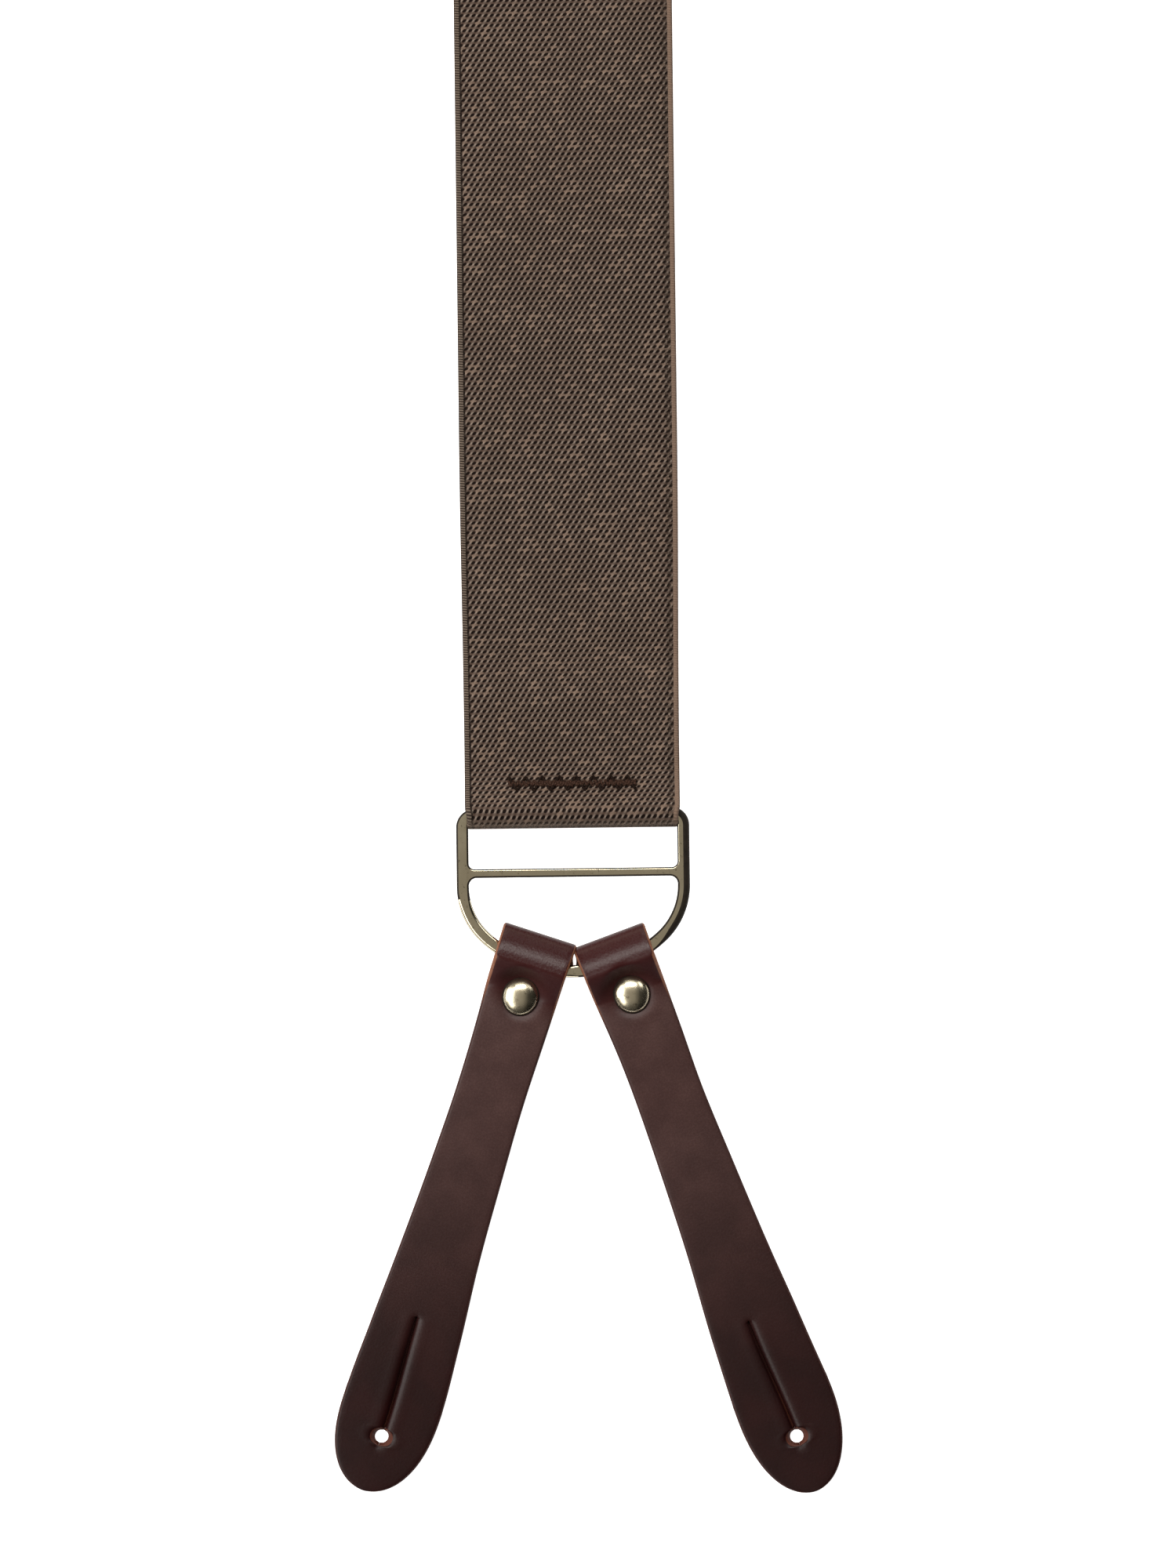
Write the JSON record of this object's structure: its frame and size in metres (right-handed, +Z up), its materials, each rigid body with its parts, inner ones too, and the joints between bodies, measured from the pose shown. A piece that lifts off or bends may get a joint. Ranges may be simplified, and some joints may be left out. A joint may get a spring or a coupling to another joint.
{
  "type": "button suspenders",
  "caption": "X-back button suspenders: elastic webbing straps on a bowed wire ring, sliding adjusters, and a D-ring with two leather button tabs at each end.",
  "frame": {"origin": "middle of the laid-out object's footprint, at its lowest face", "axes": "+Y from the back ends to the front ends, +Z up out of the outer face, +X to the right as seen from above"},
  "size_m": [0.7772, 1.2308, 0.0073],
  "materials": {
    "webbing": "matt twill-woven elastic",
    "thread": "matt twisted thread",
    "leather": "smooth, semi-gloss",
    "nickel": "polished nickel plate"
  },
  "bodies": {
    "centre_ring": {"centre_ring": "nickel"},
    "rear_straps": {"rear_strap_left": "webbing", "rear_strap_right": "webbing", "rear_ring_fold": "webbing", "end_fold_rear_left": "webbing", "end_fold_rear_right": "webbing", "rear_stitching_centre": "thread", "end_stitching_rear_left": "thread", "end_stitching_rear_right": "thread"},
    "shoulder_left": {"shoulder_strap_left": "webbing", "shoulder_ring_fold_left": "webbing", "end_fold_front_left": "webbing", "shoulder_stitching_left": "thread"},
    "adjuster_left": {"adjuster_frame_left": "nickel", "strap_tail_left": "webbing", "tail_stitching_left": "thread"},
    "lever_left": {"adjuster_lever_left": "nickel"},
    "shoulder_right": {"shoulder_strap_right": "webbing", "shoulder_ring_fold_right": "webbing", "end_fold_front_right": "webbing", "shoulder_stitching_right": "thread"},
    "adjuster_right": {"adjuster_frame_right": "nickel", "strap_tail_right": "webbing", "tail_stitching_right": "thread"},
    "lever_right": {"adjuster_lever_right": "nickel"},
    "dee_rear_left": {"d_ring_rear_left": "nickel"},
    "tab_rear_left_inner": {"button_tab_rear_left_inner": "leather", "rivet_cap_rear_left_inner": "nickel", "rivet_back_rear_left_inner": "nickel"},
    "tab_rear_left_outer": {"button_tab_rear_left_outer": "leather", "rivet_cap_rear_left_outer": "nickel", "rivet_back_rear_left_outer": "nickel"},
    "dee_rear_right": {"d_ring_rear_right": "nickel"},
    "tab_rear_right_inner": {"button_tab_rear_right_inner": "leather", "rivet_cap_rear_right_inner": "nickel", "rivet_back_rear_right_inner": "nickel"},
    "tab_rear_right_outer": {"button_tab_rear_right_outer": "leather", "rivet_cap_rear_right_outer": "nickel", "rivet_back_rear_right_outer": "nickel"},
    "dee_front_left": {"d_ring_front_left": "nickel"},
    "tab_front_left_inner": {"button_tab_front_left_inner": "leather", "rivet_cap_front_left_inner": "nickel", "rivet_back_front_left_inner": "nickel"},
    "tab_front_left_outer": {"button_tab_front_left_outer": "leather", "rivet_cap_front_left_outer": "nickel", "rivet_back_front_left_outer": "nickel"},
    "dee_front_right": {"d_ring_front_right": "nickel"},
    "tab_front_right_inner": {"button_tab_front_right_inner": "leather", "rivet_cap_front_right_inner": "nickel", "rivet_back_front_right_inner": "nickel"},
    "tab_front_right_outer": {"button_tab_front_right_outer": "leather", "rivet_cap_front_right_outer": "nickel", "rivet_back_front_right_outer": "nickel"}
  },
  "joints": [
    {"name": "rear_straps_on_ring", "type": "hinge", "parent": "centre_ring", "child": "rear_straps", "pos_m": [0, -0.15809, 0.00365], "axis": [1, 0, 0], "range_deg": [-40, 40]},
    {"name": "shoulder_left_on_ring", "type": "hinge", "parent": "centre_ring", "child": "shoulder_left", "pos_m": [-0.01163, -0.13695, 0.00365], "axis": [0.34, 0.9404, 0], "range_deg": [-40, 40]},
    {"name": "shoulder_right_on_ring", "type": "hinge", "parent": "centre_ring", "child": "shoulder_right", "pos_m": [0.01163, -0.13695, 0.00365], "axis": [-0.34, 0.9404, 0], "range_deg": [-40, 40]},
    {"name": "adjuster_left_slide", "type": "slide", "parent": "shoulder_left", "child": "adjuster_left", "axis": [0.4195, -0.9078, 0], "range_m": [0, 0.18]},
    {"name": "lever_left_pivot", "type": "hinge", "parent": "adjuster_left", "child": "lever_left", "pos_m": [-0.28495, 0.45562, 0.004], "axis": [-0.9078, -0.4195, 0], "range_deg": [0, 100]},
    {"name": "adjuster_right_slide", "type": "slide", "parent": "shoulder_right", "child": "adjuster_right", "axis": [-0.4195, -0.9078, 0], "range_m": [0, 0.18]},
    {"name": "lever_right_pivot", "type": "hinge", "parent": "adjuster_right", "child": "lever_right", "pos_m": [0.28495, 0.45562, 0.004], "axis": [-0.9078, 0.4195, 0], "range_deg": [0, 100]},
    {"name": "d_ring_rear_left_hinge", "type": "hinge", "parent": "rear_straps", "child": "dee_rear_left", "pos_m": [-0.10408, -0.4978, 0.00325], "axis": [0.9563, -0.2924, 0], "range_deg": [-95, 95]},
    {"name": "tab_rear_left_inner_swing", "type": "hinge", "parent": "dee_rear_left", "child": "tab_rear_left_inner", "pos_m": [-0.10412, -0.52328, 0.00325], "axis": [0.9981, 0.061, 0], "range_deg": [-80, 80]},
    {"name": "tab_rear_left_outer_swing", "type": "hinge", "parent": "dee_rear_left", "child": "tab_rear_left_outer", "pos_m": [-0.1183, -0.51894, 0.00325], "axis": [0.7934, -0.6088, 0], "range_deg": [-80, 80]},
    {"name": "d_ring_rear_right_hinge", "type": "hinge", "parent": "rear_straps", "child": "dee_rear_right", "pos_m": [0.10408, -0.4978, 0.00325], "axis": [0.9563, 0.2924, 0], "range_deg": [-95, 95]},
    {"name": "tab_rear_right_inner_swing", "type": "hinge", "parent": "dee_rear_right", "child": "tab_rear_right_inner", "pos_m": [0.10482, -0.52331, 0.00325], "axis": [0.9996, -0.0279, 0], "range_deg": [-80, 80]},
    {"name": "tab_rear_right_outer_swing", "type": "hinge", "parent": "dee_rear_right", "child": "tab_rear_right_outer", "pos_m": [0.11813, -0.51908, 0.00325], "axis": [0.7997, 0.6004, 0], "range_deg": [-80, 80]},
    {"name": "d_ring_front_left_hinge", "type": "hinge", "parent": "shoulder_left", "child": "dee_front_left", "pos_m": [-0.30466, 0.49828, 0.00325], "axis": [-0.9078, -0.4195, 0], "range_deg": [-95, 95]},
    {"name": "tab_front_left_inner_swing", "type": "hinge", "parent": "dee_front_left", "child": "tab_front_left_inner", "pos_m": [-0.30816, 0.52353, 0.00325], "axis": [-0.9972, -0.075, 0], "range_deg": [-80, 80]},
    {"name": "tab_front_left_outer_swing", "type": "hinge", "parent": "dee_front_left", "child": "tab_front_left_outer", "pos_m": [-0.32162, 0.51731, 0.00325], "axis": [-0.7034, -0.7108, 0], "range_deg": [-80, 80]},
    {"name": "d_ring_front_right_hinge", "type": "hinge", "parent": "shoulder_right", "child": "dee_front_right", "pos_m": [0.30466, 0.49828, 0.00325], "axis": [-0.9078, 0.4195, 0], "range_deg": [-95, 95]},
    {"name": "tab_front_right_inner_swing", "type": "hinge", "parent": "dee_front_right", "child": "tab_front_right_inner", "pos_m": [0.30816, 0.52353, 0.00325], "axis": [-0.9972, 0.075, 0], "range_deg": [-80, 80]},
    {"name": "tab_front_right_outer_swing", "type": "hinge", "parent": "dee_front_right", "child": "tab_front_right_outer", "pos_m": [0.32162, 0.51731, 0.00325], "axis": [-0.7034, 0.7108, 0], "range_deg": [-80, 80]}
  ]
}
